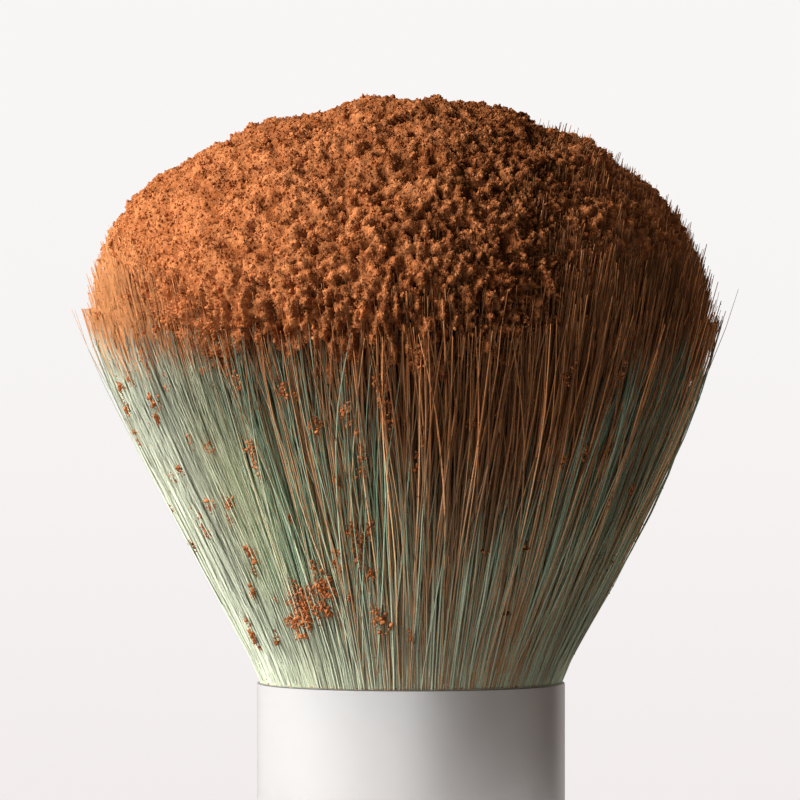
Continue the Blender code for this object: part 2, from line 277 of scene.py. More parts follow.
# %% Studio
PAPER_HIGH, PAPER_LOW = (0.939, 0.922, 0.913), (0.880, 0.835, 0.833)
PAPER_FADE, BAND_EDGE = (-0.095, 0.03), (0.12, 0.28)
UPPER_FILL = 0.10
BAND_STOPS = [
    (0.0, (0.25, 0.24, 0.23)), (0.06, (1.0, 0.98, 0.97)), (0.13, (1.15, 1.14, 1.13)),
    (0.25, (1.25, 1.25, 1.24)), (0.35, (1.10, 1.10, 1.09)), (0.41, (0.93, 0.93, 0.92)),
    (0.46, (0.87, 0.87, 0.86)), (0.505, (0.70, 0.70, 0.695)), (0.55, (0.375, 0.37, 0.36)),
    (0.60, (0.225, 0.21, 0.195)), (0.66, (0.163, 0.145, 0.13)), (0.73, (0.142, 0.127, 0.112)),
    (0.80, (0.108, 0.088, 0.075)), (0.87, (0.060, 0.048, 0.040)), (0.925, (0.31, 0.28, 0.26)),
    (0.955, (0.36, 0.33, 0.31)), (1.0, (0.25, 0.24, 0.23)),
]

scene.view_settings.view_transform = "Standard"
scene.world = bpy.data.worlds.new("studio")
scene.world.use_nodes = True
studio = Graph(scene.world.node_tree)
studio.tree.nodes.clear()
look_x, look_y, look_z = studio.parts(studio.read("TexCoord", "Generated"))
paper = studio.tint(step(look_z, *PAPER_FADE), PAPER_LOW, PAPER_HIGH)
bearing = studio.maths("ARCTAN2", look_x, -look_y) / (2 * math.pi) + 0.5
band = studio.node("ShaderNodeValToRGB", {"stops": BAND_STOPS}, {"Fac": bearing})
band_light = 1 - step(look_z.size(), *BAND_EDGE) * (1 - UPPER_FILL)
seen = studio.node("ShaderNodeBackground", None, {"Color": paper, "Strength": 1.0})
felt = studio.node("ShaderNodeBackground", None, {"Color": band, "Strength": band_light})
by_camera = studio.read("LightPath", "Is Camera Ray")
sky = studio.node("ShaderNodeMixShader", None, {0: by_camera, 1: felt, 2: seen})
studio.node("ShaderNodeOutputWorld", None, {"Surface": sky})


def softbox(name, direction, distance, width, height, power):
    """A rectangular lamp that faces the head and shows neither itself nor its mirror image."""
    head_centre = Vector((0, 0, RIM_Z + WIDEST_RISE))
    data = bpy.data.lights.new(name, "AREA")
    data.shape = "RECTANGLE"
    data.size, data.size_y = width, height
    data.energy = power
    lamp = placed(name, data)
    lamp.location = head_centre + Vector(direction).normalized() * distance
    lamp.rotation_euler = (head_centre - lamp.location).to_track_quat("-Z", "Y").to_euler()
    lamp.visible_camera = False
    lamp.visible_glossy = False
    print(f"lamp {name}: {power} W from {distance} m")


softbox("key", (-0.76, -0.34, 0.52), distance=0.80, width=0.30, height=0.30, power=8.9)
softbox("side", (-0.72, -0.68, -0.10), distance=0.80, width=0.90, height=0.60, power=2.5)
softbox("back", (0.50, 0.82, 0.28), distance=0.90, width=0.30, height=0.30, power=3.3)

# %% [markdown]
# Each material here is one Principled shader. `Finish` sets what is uniform on the shader's own sockets,
# and `put` feeds what changes over the surface. Patterns read Object coordinates, which stay with the
# piece. The floor is a pale sheet that carries the brush's shadow. Its edge fades into the world's paper
# colour, so that no horizon shows from any side. To light that bounces it is grey, or it would fill the
# dark side.

# %% Finishes and the floor
FLOOR_REACH, FLOOR_CLEAR, FLOOR_FADE = 0.40, 0.05 * MM, (0.35, 0.95)
FLOOR_PAPER, FLOOR_BOUNCE = (0.80, 0.765, 0.76), (0.22, 0.21, 0.19)


def spaced(values):
    """Python names as socket names, so that Coat_Weight is Coat Weight."""
    return {name.replace("_", " "): value for name, value in values.items()}


class Finish(Graph):
    """A material's tree round one Principled shader."""

    def __init__(self, name, **uniform):
        self.material = bpy.data.materials.new(name)
        self.material.use_nodes = True
        super().__init__(self.material.node_tree)
        self.tree.nodes.clear()
        shader = self.node("ShaderNodeBsdfPrincipled", None, spaced(uniform))
        self.node("ShaderNodeOutputMaterial", None, {"Surface": shader})
        self.sockets = shader.socket.node.inputs
        self.place = self.read("TexCoord", "Object")

    def put(self, name, value):
        self.feed(self.sockets[name], value)

    def bump(self, height, strength, distance):
        """Roughens the surface without changing the mesh."""
        sockets = {"Height": height, "Strength": strength, "Distance": distance}
        self.put("Normal", self.node("ShaderNodeBump", None, sockets))

    def attribute(self, name):
        """A number that Geometry Nodes left on the mesh."""
        return self.node("ShaderNodeAttribute", {"attribute_name": name}, out="Fac")


def add_floor():
    finish = Finish("floor_paper", Roughness=0.9)
    watched = finish.read("LightPath", "Is Camera Ray").at_least(finish.read("LightPath", "Is Glossy Ray"))
    finish.put("Base Color", finish.tint(watched, FLOOR_BOUNCE, FLOOR_PAPER))
    low, high = (FLOOR_REACH * share for share in FLOOR_FADE)
    finish.put("Alpha", 1 - step(finish.move("LENGTH", finish.place), low, high))
    mesh = bpy.data.meshes.new("floor")
    signs = ((-1, -1), (1, -1), (1, 1), (-1, 1))
    square = [(x * FLOOR_REACH, y * FLOOR_REACH, -FLOOR_CLEAR) for x, y in signs]
    mesh.from_pydata(square, [], [(0, 1, 2, 3)])
    mesh.materials.append(finish.material)
    floor = placed("floor", mesh)
    print(f"floor: {2 * FLOOR_REACH} m square")


add_floor()

# %% [markdown]
# A Geometry Nodes tree needs named inputs, so that one tree can grow several layers of fibres. `Growth`
# makes the tree with its inputs. Its `grow` puts the tree on a carrier, sets the inputs by their
# identifiers and evaluates it once. `keep` turns the result into a plain mesh and removes the carrier.
# Attributes carry what a point is, such as its strand's number, from one node to the next and on to the
# material. `OFBake` is the UV map, in which each strand and each grain has a place of its own.

# %% Trees that grow meshes
KINDS = {float: "NodeSocketFloat", int: "NodeSocketInt", bpy.types.Material: "NodeSocketMaterial"}


def keep(name, carrier):
    """The carrier's evaluated shape as a plain mesh object, in place of the carrier."""
    evaluated = carrier.evaluated_get(bpy.context.evaluated_depsgraph_get())
    mesh = bpy.data.meshes.new_from_object(evaluated)
    bpy.data.objects.remove(carrier)
    mesh.name = name
    mesh.calc_loop_triangles()
    print(f"{name}: {len(mesh.loop_triangles)} triangles")
    return placed(name, mesh)


def seat(piece, slot, *nodes):
    """Tells the frame which body carries a piece and hides the nodes that it stands for. The finish slot is
    not used.
    """
    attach(piece, "root")
    if nodes:
        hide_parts(*nodes)


class Growth(Graph):
    """A Geometry Nodes tree with named inputs."""

    def __init__(self, name, **kinds):
        super().__init__(bpy.data.node_groups.new(name, "GeometryNodeTree"))
        sockets = self.tree.interface
        for way in ("INPUT", "OUTPUT"):
            sockets.new_socket("Geometry", in_out=way, socket_type="NodeSocketGeometry")
        for label, kind in kinds.items():
            sockets.new_socket(label, in_out="INPUT", socket_type=KINDS[kind])
        self.source = self.node("NodeGroupInput")
        self.given = {label: self.source.other(label) for label in kinds}

    def shape(self, kind, **sockets):
        """A geometry node without settings."""
        return self.node("GeometryNode" + kind, None, spaced(sockets))

    def spin(self, seed, low, high, item):
        """A random number that stays the same for one item, such as a strand."""
        sockets = {"Min_001": low, "Max_001": high, "ID": item, "Seed": seed}
        return self.node("FunctionNodeRandomValue", {"data_type": "FLOAT"}, sockets, "Value_001")

    def remember(self, geometry, kind="FLOAT", domain="POINT", **values):
        """Stores attributes of one kind."""
        settings = {"data_type": kind, "domain": domain}
        for name, value in values.items():
            sockets = {"Geometry": geometry, "Name": name, "Value": value}
            geometry = self.node("GeometryNodeStoreNamedAttribute", settings, sockets)
        return geometry

    def remembered(self, name, kind="FLOAT"):
        return self.node("GeometryNodeInputNamedAttribute", {"data_type": kind}, {"Name": name})

    def unwrap(self, mesh, across, down):
        return self.remember(mesh, "FLOAT2", "CORNER", OFBake=self.vector(across, down, 0))

    def end(self, mesh):
        """Shades the mesh smooth, realises its instances, sets its material and closes the tree."""
        mesh = self.shape("SetShadeSmooth", Geometry=mesh)
        mesh = self.shape("RealizeInstances", Geometry=mesh)
        mesh = self.shape("SetMaterial", Geometry=mesh, Material=self.given["Finish"])
        sink = self.tree.nodes.new("NodeGroupOutput")
        self.tree.links.new(mesh.socket, sink.inputs[0])
        print(f"tree {self.tree.name}: {len(self.tree.nodes)} nodes")
        return self

    def grow(self, name, base=None, **values):
        """Grows the tree once, on a mesh or on nothing, and returns a plain mesh object."""
        carrier = placed("carrier", base or bpy.data.meshes.new("seed"))
        modifier = carrier.modifiers.new("Grow", "NODES")
        modifier.node_group = self.tree
        for item in self.tree.interface.items_tree:
            if item.in_out == "INPUT" and item.name in values:
                modifier[item.identifier] = values[item.name]
        return keep(name, carrier)


print("kinds of input:", ", ".join(kind.__name__ for kind in KINDS))

# %% [markdown]
# ## Fibre finish
#
# The filaments are pale sage plastic, a little different from strand to strand. Powder clings to them:
# where it is thin it looks tan, and near the dome it is the powder's own orange-brown. Strands that carry
# powder look worn and bright, and clean ones between them stay a dark green. The colour reads the
# attributes that the strand tree leaves on the mesh, and speckles as small as grains break it up.
#
# On the lit left side the strands are painted lighter and more alike, which is painted light, and at the
# imported foot of the bundle they differ less. In both places their shading normals lean towards the
# direction out of the bundle, as those of closely packed fibres do. Deeper strands are painted darker as
# shade, because little light reaches them, though hardly on the lit left side or at the foot. So is the
# green under the overhang of the powder. Towards the top the green is painted darker, as shade and as a
# film of dust that the eye can't part into grains, and the side that faces the lamps and the foot are
# painted a little darker too.

# %% Fibre finish
THIN_DUST, THICK_DUST = (1.0, 0.58, 0.30), (0.95, 0.385, 0.145)
WORN_SAGE = (0.95, 0.70, 0.42)
SAGE_STOPS = [
    (0.0, (0.14, 0.25, 0.16)), (0.3, (0.36, 0.48, 0.33)),
    (0.7, (0.74, 0.82, 0.60)), (1.0, (0.86, 0.90, 0.69)),
]
PACKED_RISES, FILM_AND_SHADE_RISES, OVERHANG_RISES, BROW_RISES = (3, 16), (15, 25), (16, 26), (27, 33)
FIBRE_SPECKLE = 0.20 * MM
LEAST_MERGED, DEEP_SHADE, DEEP_SHADE_LEFT = 0.3, 0.35, 0.20
LIT_SHADE, PACKED_SHADE, OVERHANG_SHADE = 0.08, 0.02, 0.27


def risen(z, low, high):
    """A smooth step between two heights over the rim in millimetres."""
    return step(z, RIM_Z + low * MM, RIM_Z + high * MM)


def fibre_finish():
    finish = Finish("sage_fibre", Specular_IOR_Level=0.3)
    x, y, z = finish.parts(finish.place)
    leftwards = -x / (x * x + y * y).root()
    # Painted light: on the lit left side the tone is pushed high, so the strands there are painted lighter
    # and more alike.
    lit_left = step(leftwards, 0.45, 0.90) * 0.9
    packed = 1 - risen(z, *PACKED_RISES)
    foot = packed * 0.75
    tone = finish.blend(foot.at_least(lit_left), finish.attribute("tone"), 0.60 + lit_left * 0.36)
    speckle = finish.noise(finish.place, FIBRE_SPECKLE) - 0.5

    green = finish.node("ShaderNodeValToRGB", {"stops": SAGE_STOPS}, {"Fac": tone})
    worn = step(tone, 0.30, 0.65) * (1 - lit_left) * (1 - packed * 0.6) * 0.75
    green = finish.tint(worn, green, finish.move("SCALE", WORN_SAGE, 0.20 + tone * 0.90))
    # Painted shade: the green is darkened towards the top, standing both for shade and for a fine film of
    # dust.
    green = finish.move("SCALE", green, 1.16 - risen(z, *FILM_AND_SHADE_RISES) * 0.30)
    powder = finish.tint(finish.attribute("caked") + speckle * 0.6, THIN_DUST, THICK_DUST)
    powder = finish.move("SCALE", powder, 0.18 + tone * tone * 1.30)
    cover = step(finish.attribute("dust") + speckle * 0.9, 0.15, 0.75)

    merged = (lit_left * 0.75).at_least(foot).at_least(LEAST_MERGED)
    # Painted shade: deeper strands, the green under the powder's overhang, the foot, and a little the side
    # facing the lamps are darkened in the colour.
    near = step(finish.attribute("share"), 0.89, 0.985).at_least(lit_left).at_least(foot)
    near = near.at_least(risen(z, *BROW_RISES))
    deep = DEEP_SHADE + step(-x, -4 * MM, 9 * MM) * DEEP_SHADE_LEFT
    lit = step(leftwards, 0.55, 1.0)
    overhang = risen(z, *OVERHANG_RISES) * (1 - lit_left) * (1 - step(x, 6 * MM, 16 * MM) * 0.8)
    shade = (1 + speckle * (0.9 - merged * 0.5)) * finish.blend(near, deep, 1.0)
    shade = shade * (1 - lit * LIT_SHADE - packed * PACKED_SHADE - overhang * OVERHANG_SHADE)
    finish.put("Base Color", finish.move("SCALE", finish.tint(cover, green, powder), shade))
    finish.put("Roughness", 0.48 + cover * 0.4)

    own = finish.move("SCALE", finish.read("NewGeometry", "Normal"), 1 - merged)
    outwards = finish.move("SCALE", finish.move("NORMALIZE", finish.vector(x, y, 0)), merged)
    finish.put("Normal", finish.move("NORMALIZE", finish.move("ADD", own, outwards)))
    return finish.material


fibre = fibre_finish()
print("fibre finish:", len(fibre.node_tree.nodes), "nodes")

# %% [markdown]
# ## Fibres
#
# A real head holds some twenty thousand synthetic filaments. Each leaves the ferrule, fans out in nearly
# a straight line, and ends on the dome. They gather into small locks, and every filament wanders a
# little from its neighbours. Only the outer fifth of the bundle can be seen, so the inside is a plain
# core, and the strands are grown round it in layers.
#
# A strand's place is given by two numbers that stay with it: its share of the bundle's radius, and its
# turn round the axis. `bundle_radius` says how far out the bundle has spread at a share of its height.

# %% How the bundle spreads
FLARE_GAIN, FLARE_CURL, FLARE_POWER, INSIDE_GAIN = 1.10, 0.10, 6, 0.45
FIBRE_RADIUS = HEAD_RADIUS - 0.5 * MM
RIM_RADIUS = BORE_RADIUS - 0.05 * MM
HEAD_SWAY = -0.75 * MM
SWAY_RISES, SWAY_ENDS = (8 * MM, 36 * MM), (39 * MM, 44.5 * MM)


def fan(share):
    """From 0 at the rim to 1 at the tips, with a slight turn inwards at the end."""
    return share * FLARE_GAIN - share ** FLARE_POWER * FLARE_CURL


def bundle_radius(rise_share):
    """The bundle's radius at a share of its height, for a wire. Below the rim it narrows slowly."""
    fanned = fan(rise_share.at_least(0)) + rise_share.at_most(0) * INSIDE_GAIN
    return fanned * (FIBRE_RADIUS - RIM_RADIUS) + RIM_RADIUS


def radius_at(rise):
    """The bundle's radius at a height over the rim, for a plain number."""
    share = min(1.0, max(0.0, rise / WIDEST_RISE))
    return fan(share) * (FIBRE_RADIUS - RIM_RADIUS) + RIM_RADIUS


def sway(rise):
    """The head isn't quite symmetric: its widest part has been pushed over a little."""
    return step(rise, *SWAY_RISES) * (1 - step(rise, *SWAY_ENDS)) * HEAD_SWAY


print(f"half way up the flare the radius is {radius_at(WIDEST_RISE / 2) / MM:.1f} mm")

# %% [markdown]
# Powder has run down the strands furthest in front, where the brush was pressed into it, and hardly at
# all on the left. Some strands are loaded and others are clean. Above a ragged brow just under the
# dome's edge, all of them are covered. `dust` says how much powder coats a strand there, `caked` how
# thick it is, and `loaded` whether the strand carries much.

# %% Powder on the strands
def dust_on(graph, turn, rise, strand, share):
    """Powder on a strand, how thickly it cakes, and how loaded the strand is."""
    cosine, height = turn.cosine(), rise / WIDEST_RISE
    patch = graph.noise(graph.around(turn, 2.2, 0), 1.0)
    front = step(-turn.sine(), 0.35, 1.0) * step(cosine, -0.50, 0.20)
    right, left = step(cosine, 0.2, 0.8), step(-cosine, 0.25, 0.72)
    loaded = step(graph.spin(31, 0, 1, strand), 0.35, 0.75)

    want = 0.28 + patch * 0.36 + step(share, 0.93, 1.0) * 0.30 + front * 0.34 - right * 0.12
    length = want * 1.35 + front * 0.16 + graph.spin(32, 0.0, 0.34, strand)
    length = length * (0.14 + front * 0.30 + loaded * (0.86 - front * 0.30))
    start = 1 - length * (1 - left * 0.85 - right * 0.15)
    ran_down = step(height, start, start + 0.35) * step(share, 0.89, 0.98)
    brow = 0.94 - patch * 0.10 + graph.spin(34, -0.08, 0.04, strand)
    dust = ran_down.at_least(step(height, brow, brow + 0.08))

    edge = 0.84 - front * 0.34 - right * 0.12 - left * 0.22 + graph.spin(33, -0.12, 0.08, strand)
    return dust, step(height, edge, edge + 0.22), loaded


# %% [markdown]
# The strand tree starts from as many points as there are strands. A short line of points is put on each
# and then moved along its strand's path, which is a formula of the share, the turn and the place along
# the strand. The strands are packed outwards at the foot and take their own depth on the way up.
#
# `uneven` adds what moves a strand off its smooth path, all zero at the rim and growing towards the tip:
# locks from soft noise that neighbours share, small waves, a bend of the strand's own, and a few strays.
# `Lean` lets strands cross each other at a slant. The lit left side is calmer than the rest.

# %% The path of a strand
LOCK_SIZE, FINE_LOCK_SIZE = 2.6 * MM, 0.9 * MM
LEFT_BROW, TIP_SUNK, RIGHT_LIFT, LEFT_LIFT = 0.7 * MM, 1.5 * MM, 1.0 * MM, 1.3 * MM
MIDDLE_GREY = (0.5, 0.5, 0.5)


def strand_lines(graph):
    """A line of points for each strand, on which each point knows its strand and its place along it."""
    dots = graph.shape("Points", Count=graph.given["Count"])
    dots = graph.remember(dots, "INT", strand=graph.shape("InputIndex"))
    line = graph.shape("CurvePrimitiveLine", End=(0, 0, 1))
    line = graph.shape("ResampleCurve", Curve=line, Count=graph.given["Points"])
    lines = graph.shape("InstanceOnPoints", Points=dots, Instance=line)
    lines = graph.shape("RealizeInstances", Geometry=lines)
    return graph.remember(lines, length_share=graph.shape("SplineParameter"))


def tip_height(graph, luck, cosine, share):
    """Where a strand ends: under the powder, and proud of it where it is thin, as on the right."""
    thin_side = step(cosine * share, 0.0, 0.60)
    left_edge = step(-(cosine * share), 0.72, 0.92)
    left_brow = step(-cosine, 0.70, 0.95) * step(share, 0.88, 0.96) * LEFT_BROW
    proud = graph.given["Proud"] * luck(2, -0.5, 1.0) * (0.25 + thin_side + left_edge * 0.6) + left_brow
    under = TIP_SUNK - thin_side * RIGHT_LIFT - left_edge * LEFT_LIFT
    return (1 - (share * share).at_most(1)).root() * DOME_HEIGHT + WIDEST_RISE + proud - under


def uneven(graph, luck, turn, share, along, above):
    """Offsets of a strand from its smooth path."""
    lock_by, bend_by, stray_by = (graph.given[name] for name in ("Lock", "Bend", "Stray"))
    cosine, sine = turn.cosine(), turn.sine()
    free = above ** 1.4
    calm = 1 - step(-cosine, 0.30, 0.85) * 0.85

    def drift(place, size, detail, amount):
        noise = graph.noise(place, size, detail).other("Color")
        return graph.move("SCALE", graph.move("SUBTRACT", noise, MIDDLE_GREY), amount)

    flat = graph.vector(cosine * share * HEAD_RADIUS, sine * share * HEAD_RADIUS, 0)
    lock = drift(flat, LOCK_SIZE, 2.0, free * lock_by * calm)
    fine = drift(flat, FINE_LOCK_SIZE, 2.0, free * lock_by * calm * 0.8)
    wave = drift(graph.around(turn, 40, along * 3), 1.0, 0.0, free.root() * bend_by * calm * 3)
    bend_by = (above * math.pi).sine() * bend_by
    bend = graph.vector(luck(3) * bend_by, luck(4) * bend_by, 0)
    stray_by = free * stray_by
    stray = graph.vector(luck(5) ** 3 * stray_by, luck(6) ** 3 * stray_by, 0)
    return lock, fine, wave, bend, stray


# %% [markdown]
# At last each line gets a three-sided tube, thinner at its tip and thicker where powder cakes on it. Two
# more attributes go with it: `tone`, which differs from strand to strand, and `cling`, which says how
# likely a crumb hangs there. In the UV map each strand has a narrow strip of its own.

# %% The strand tree
ATLAS_COLUMNS, DUST_PATCH = 256, 2.6 * MM


def strand_tubes(graph, lines, luck, strand):
    """Tubes along the lines, with their UV map."""
    girth = graph.given["Thickness"] * luck(8, 0.55, 1.3) * (1 - graph.remembered("length_share") ** 4 * 0.7)
    girth = girth * (1 + graph.remembered("caked") * 0.5)
    ring = graph.shape("CurvePrimitiveCircle", Resolution=3, Radius=1.0)
    ring = graph.remember(ring, side=graph.shape("InputIndex") / 2)
    mesh = graph.shape("CurveToMesh", Curve=lines, Profile_Curve=ring, Scale=girth, Fill_Caps=True)
    columns, rows = graph.given["Columns"], graph.given["Rows"]
    across = (graph.maths("MODULO", strand, columns) + 0.15 + graph.remembered("side") * 0.7) / columns
    down = ((strand / columns).floor() + 0.04 + graph.remembered("length_share") * 0.92) / rows
    return graph.unwrap(mesh, across, down)


def strand_tree():
    graph = Growth(
        "fibre_layer", Count=int, Points=int, Seed=int, Inner=float, Outer=float, Start=float,
        Thickness=float, Lock=float, Bend=float, Stray=float, Proud=float, Lean=float,
        Columns=float, Rows=float, Finish=bpy.types.Material,
    )
    given, lines = graph.given, strand_lines(graph)
    strand = graph.remembered("strand", "INT")

    def luck(offset, low=-1, high=1):
        """The strand's own random numbers."""
        return graph.spin(given["Seed"] + offset, low, high, strand)

    along = graph.blend(graph.remembered("length_share"), given["Start"], 1.0)
    inner, outer = given["Inner"], given["Outer"]
    share = graph.blend(luck(0, 0, 1), inner * inner, outer * outer).root()
    turn = luck(1, 0, 2 * math.pi)
    tip_rise = tip_height(graph, luck, turn.cosine(), share)
    rise = along * (tip_rise + ROOT_DEPTH) - ROOT_DEPTH
    rise_share = rise / tip_rise
    above = rise_share.at_least(0)
    squeeze = step(rise_share, 0.05, 0.85) * 0.92 + 0.08
    radius = (1 - (1 - share) * squeeze) * bundle_radius(rise_share)
    lean = given["Lean"] * luck(9) * (above - 0.3)
    place = graph.around(turn + lean, radius, rise + RIM_Z)
    offsets = uneven(graph, luck, turn, share, along, above)
    for offset in (graph.vector(sway(rise), 0, 0), *offsets):
        place = graph.move("ADD", place, offset)
    lines = graph.shape("SetPosition", Geometry=lines, Position=place)

    dust, caked, loaded = dust_on(graph, turn, rise, strand, share)
    patch = step(graph.noise(graph.shape("InputPosition"), DUST_PATCH), 0.52, 0.66)
    cling = dust * (0.25 + caked * 0.75) + patch * (0.10 + step(rise / WIDEST_RISE, 0.3, 1.0) * 0.6)
    tone = luck(7, 0.15, 1) * (0.4 + loaded * 0.6)
    lines = graph.remember(lines, tone=tone, caked=caked, share=share, dust=dust, cling=cling)
    return graph.end(strand_tubes(graph, lines, luck, strand))


strands = strand_tree()

# %% [markdown]
# Each layer is a piece of its own, from the deep strands, which only show as dark lines in the gaps, to
# the loose ones that lie over all the others. The tips are short strands that come up under the powder
# and stand proud of it where it is thin.

# %% Layers of fibres
def layer(name, seed, count, inner, outer, **changes):
    """Grows strands between two shares of the bundle's radius."""
    columns = min(count, ATLAS_COLUMNS)
    values = {
        "Count": count, "Points": 13, "Seed": seed, "Inner": inner, "Outer": outer, "Start": 0.0,
        "Thickness": 0.060 * MM, "Lock": 2.2 * MM, "Bend": 0.40 * MM, "Stray": 0.6 * MM, "Proud": 0.0,
        "Lean": 0.05, "Columns": float(columns), "Rows": float(math.ceil(count / columns)), "Finish": fibre,
    }
    made = strands.grow(name, **(values | changes))
    seat(made, "fibre")
    return made


layer("fibres_deep", 100, 1400, 0.82, 0.89, Points=11)
layer("fibres_middle", 200, 2900, 0.89, 0.95, Points=11)
fibres_near = layer("fibres_near", 300, 2900, 0.95, 1.01, Points=12, Lean=0.10)
fibres_loose = layer("fibres_loose", 400, 900, 0.98, 1.015, Stray=1.0 * MM, Bend=0.6 * MM, Lean=0.24)
layer("fibres_flyaway", 500, 190, 0.99, 1.02, Stray=2.6 * MM, Thickness=0.032 * MM)
layer("fibre_tips_inner", 600, 3000, 0.0, 0.72, Start=0.72, Points=5, Proud=0.5 * MM)
layer("fibre_tips_outer", 700, 7000, 0.72, 0.99, Start=0.62, Points=5, Proud=0.45 * MM)

# %% [markdown]
# The core stands for the thousands of strands that nobody sees. It is a turned solid at four fifths of
# the head's radius. Its colour is painted shade: dark streaks run up with the strands, so that a gap
# between locks looks deep, and it is lighter on the lit left side and darker higher up.
#
# A turned piece is an outline of (radius, height) points that runs down the outer side and is spun round
# the axis by the Screw modifier.

# %% Core of the bundle
CORE_SHARE, ROOT_SHRINK, TURN_STEPS = 0.80, 0.9, 192
CORE_DROP, CORE_SUNK, CORE_WALL_DROP = 3 * MM, 1.5 * MM, 6 * MM
SLICE_HEIGHT = 1.2 * MM
STREAK_SHADE = (0.04, 0.04, 0.03)
CORE_LOW, CORE_LOW_LIT = (0.11, 0.15, 0.08), (0.56, 0.66, 0.47)
CORE_HIGH, CORE_HIGH_LIT = (0.05, 0.08, 0.055), (0.11, 0.17, 0.11)


def turned(name, profile, steps=TURN_STEPS, closed=False):
    """Turns a profile into a plain mesh."""
    mesh = bpy.data.meshes.new(name)
    count = len(profile)
    edges = [(i, (i + 1) % count) for i in range(count if closed else count - 1)]
    mesh.from_pydata([(radius, 0, height) for radius, height in profile], edges, [])
    carrier = placed("carrier", mesh)
    screw = carrier.modifiers.new("Turn", "SCREW")
    screw.steps = screw.render_steps = steps
    screw.use_merge_vertices = True
    screw.merge_threshold = 0.001 * MM
    made = keep(name, carrier)
    made.data.shade_smooth()
    made.data.set_sharp_from_angle(angle=math.radians(40))
    return made


def arc(centre, reach, start, end, count):
    """Points on an arc between two angles in degrees, with its reach sideways and upwards."""
    angles = [math.radians(start + (end - start) * i / count) for i in range(count + 1)]
    return [(centre[0] + reach[0] * math.cos(a), centre[1] + reach[1] * math.sin(a)) for a in angles]


def core_finish():
    finish = Finish("packed_fibre", Roughness=0.8)
    x, y, z = finish.parts(finish.place)
    turn = finish.maths("ARCTAN2", y, x)
    streaks = finish.noise(finish.around(turn, 50, z * 60), 1.0)
    # Painted light and shade: the core is lighter on the lit left side and darker higher up.
    low = finish.tint(step(-x, 2 * MM, 14 * MM), CORE_LOW, CORE_LOW_LIT)
    high = finish.tint(step(-x, -4 * MM, 10 * MM), CORE_HIGH, CORE_HIGH_LIT)
    base = finish.tint(risen(z, 10, 24), low, high)
    # Painted shade: dark streaks make the gaps between locks look deep.
    finish.put("Base Color", finish.tint(step(streaks, 0.35, 0.65) * 0.5, base, STREAK_SHADE))
    return finish.material


def core_profile():
    """From the dome's top down beside the strands to the potted slice at the bottom."""
    dome_centre = (0, RIM_Z + WIDEST_RISE - CORE_DROP)
    points = arc(dome_centre, (CORE_SHARE * FIBRE_RADIUS, DOME_HEIGHT - CORE_SUNK), 90, 0, 16)
    for i in range(12, -1, -1):
        rise = i / 12 * (WIDEST_RISE - CORE_WALL_DROP)
        points.append((CORE_SHARE * radius_at(rise), RIM_Z + rise))
    slice_top = bundle_low.z + SLICE_HEIGHT
    slice_radius = BORE_RADIUS - SEAT_GAP
    points += [(CORE_SHARE * ROOT_SHRINK * RIM_RADIUS, slice_top), (slice_radius, slice_top)]
    return points + [(slice_radius, bundle_low.z), (0, bundle_low.z)]


core = turned("fibre_core", core_profile())
core.data.materials.append(core_finish())
seat(core, "fibre", "bristle_bundle")

# %% [markdown]
# ## Powder crust
#
# Loose pressed-looking powder sits on the dome as a crumbly crust. It is thick on the left and on top. On
# the right it is thin, and the strand tips come through. Its lower edge is ragged: it follows the strands
# down in streaks and sinks between them.
#
# The crust is one closed skin. A flat grid is mapped to a disc with the elliptic formula, which keeps its
# cells nearly square, so there is no pole on top. The disc's radius then runs down the dome, down the
# skirt, and back inside to the axis, where the rim closes to a point.

# %% The form of the crust
OUTSIDE_SHARE, DOME_SHARE, SKIRT_DROP = 0.95, 0.80, 8.5 * MM
STREAK_STRETCH, TONE_SIZE, CRUST_WELD = 0.18, 2.0 * MM, 0.002 * MM


def disc_place(graph):
    """The grid's point as a radius from 0 to 1 and a turn, by the elliptic map from square to disc."""
    x, y, _ = graph.parts(graph.shape("InputPosition"))
    a = x * (1 - y * y / 2).root()
    b = y * (1 - x * x / 2).root()
    return (a * a + b * b).root(), graph.maths("ARCTAN2", b, a)


# %% [markdown]
# The height over the dome is a sum. Its big lumps are crossing waves, which stand where the solid has
# them, and soft noise. Its crumbs and grit are cell patterns, and pits between them look like loose
# powder that has broken away. On the left the powder lies closer, so its crumbs are softer. Towards the
# edge the crust turns into ribs along the strands, and it sinks in where the fibres show.

# %% The relief of the crust
SWELL_WAVES, SWELL_PITCH, SWELL_HEIGHT, SWELL_FADE = 6, 6.2 * MM, 0.9 * MM, 0.6
GOLDEN_ANGLE = math.pi * (3 - math.sqrt(5))
EDGE_RISE, EDGE_RIGHT, EDGE_LEFT, EDGE_SOFT = 25.6 * MM, 5.0 * MM, 3.2 * MM, 0.8 * MM
WANDER_SIZE, WANDER_HEIGHT = 7 * MM, 5 * MM
STREAK_SIZE, STREAK_HEIGHT = 0.9 * MM, 14 * MM
LUMP_SIZE, LUMP_HEIGHT = 2.2 * MM, 1.4 * MM
CRUMB_SIZE, CRUMB_HEIGHT = 0.75 * MM, 0.80 * MM
GRIT_SIZE, GRIT_HEIGHT = 0.42 * MM, 0.32 * MM
PIT_SIZE, PIT_DEPTH = 1.05 * MM, 1.2 * MM
CAVITY_START, CAVITY_FULL = 0.08 * MM, -0.24 * MM
RIB_SIZE, RIB_HEIGHT = 0.55 * MM, 3.8 * MM
POWDER_SINK, RIB_SINK, RIB_SINK_LEFT = 0.30 * MM, 0.2 * MM, 1.3 * MM
RIGHT_SINK, RIB_SINK_RIGHT, BARE_SINK = 0.5 * MM, 1.9 * MM, 2.0 * MM


